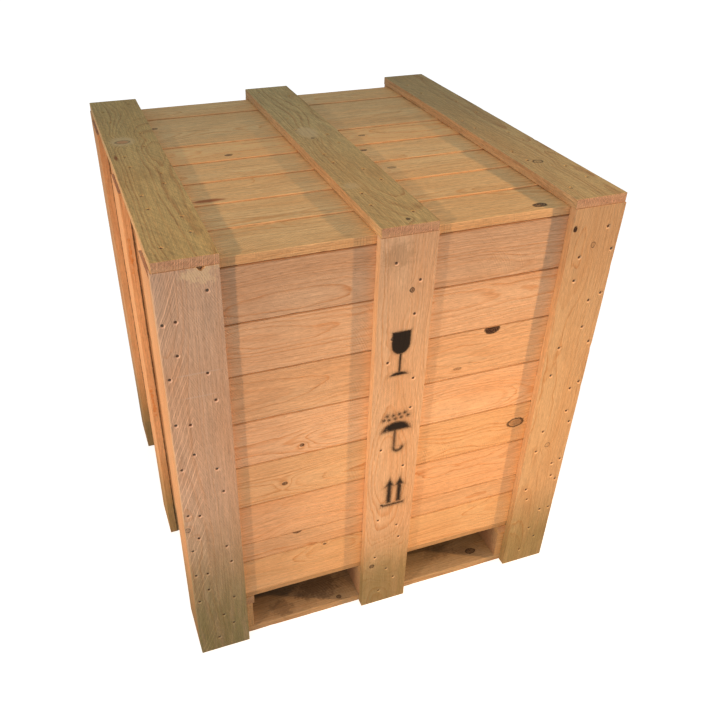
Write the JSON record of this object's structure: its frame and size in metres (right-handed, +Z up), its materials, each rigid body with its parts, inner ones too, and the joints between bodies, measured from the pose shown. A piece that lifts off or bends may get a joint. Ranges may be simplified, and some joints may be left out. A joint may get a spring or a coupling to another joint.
{
  "type": "wooden shipping crate",
  "caption": "Closed softwood shipping crate: boarded walls held by upright battens, a battened lift-off lid and a pallet base that forks can enter from all sides.",
  "frame": {"origin": "on the floor, under the middle of the crate", "axes": "+X to the right along the front, +Y to the back, +Z up"},
  "size_m": [0.8, 0.8, 0.887],
  "materials": {
    "wall_board": "rough-sawn, unpainted softwood",
    "wall_batten": "rough-sawn, unpainted softwood",
    "lid_board": "rough-sawn, unpainted softwood",
    "lid_batten": "rough-sawn, unpainted softwood",
    "base_timber": "rough-sawn, unpainted softwood",
    "nail": "dull bare wire nails"
  },
  "bodies": {
    "crate": {"front_board_1": "wall_board", "front_board_2": "wall_board", "front_board_3": "wall_board", "front_board_4": "wall_board", "front_board_5": "wall_board", "front_board_6": "wall_board", "front_board_7": "wall_board", "front_board_8": "wall_board", "right_board_1": "wall_board", "right_board_2": "wall_board", "right_board_3": "wall_board", "right_board_4": "wall_board", "right_board_5": "wall_board", "right_board_6": "wall_board", "right_board_7": "wall_board", "right_board_8": "wall_board", "back_board_1": "wall_board", "back_board_2": "wall_board", "back_board_3": "wall_board", "back_board_4": "wall_board", "back_board_5": "wall_board", "back_board_6": "wall_board", "back_board_7": "wall_board", "back_board_8": "wall_board", "left_board_1": "wall_board", "left_board_2": "wall_board", "left_board_3": "wall_board", "left_board_4": "wall_board", "left_board_5": "wall_board", "left_board_6": "wall_board", "left_board_7": "wall_board", "left_board_8": "wall_board", "front_batten_left": "wall_batten", "front_batten_middle": "wall_batten", "front_batten_right": "wall_batten", "right_batten_front": "wall_batten", "right_batten_middle": "wall_batten", "right_batten_back": "wall_batten", "back_batten_right": "wall_batten", "back_batten_middle": "wall_batten", "back_batten_left": "wall_batten", "left_batten_back": "wall_batten", "left_batten_middle": "wall_batten", "left_batten_front": "wall_batten", "bottom_boards": "base_timber", "blocks": "base_timber", "bearers": "base_timber", "deck_boards": "base_timber", "body_nails": "nail"},
    "lid": {"lid_board_1": "lid_board", "lid_board_2": "lid_board", "lid_board_3": "lid_board", "lid_board_4": "lid_board", "lid_board_5": "lid_board", "lid_board_6": "lid_board", "lid_board_7": "lid_board", "lid_batten_left": "lid_batten", "lid_batten_middle": "lid_batten", "lid_batten_right": "lid_batten", "lid_nails": "nail"}
  },
  "joints": [
    {"name": "lid_lift", "type": "slide", "parent": "crate", "child": "lid", "axis": [0, 0, 1], "range_m": [0, 0.4]}
  ]
}
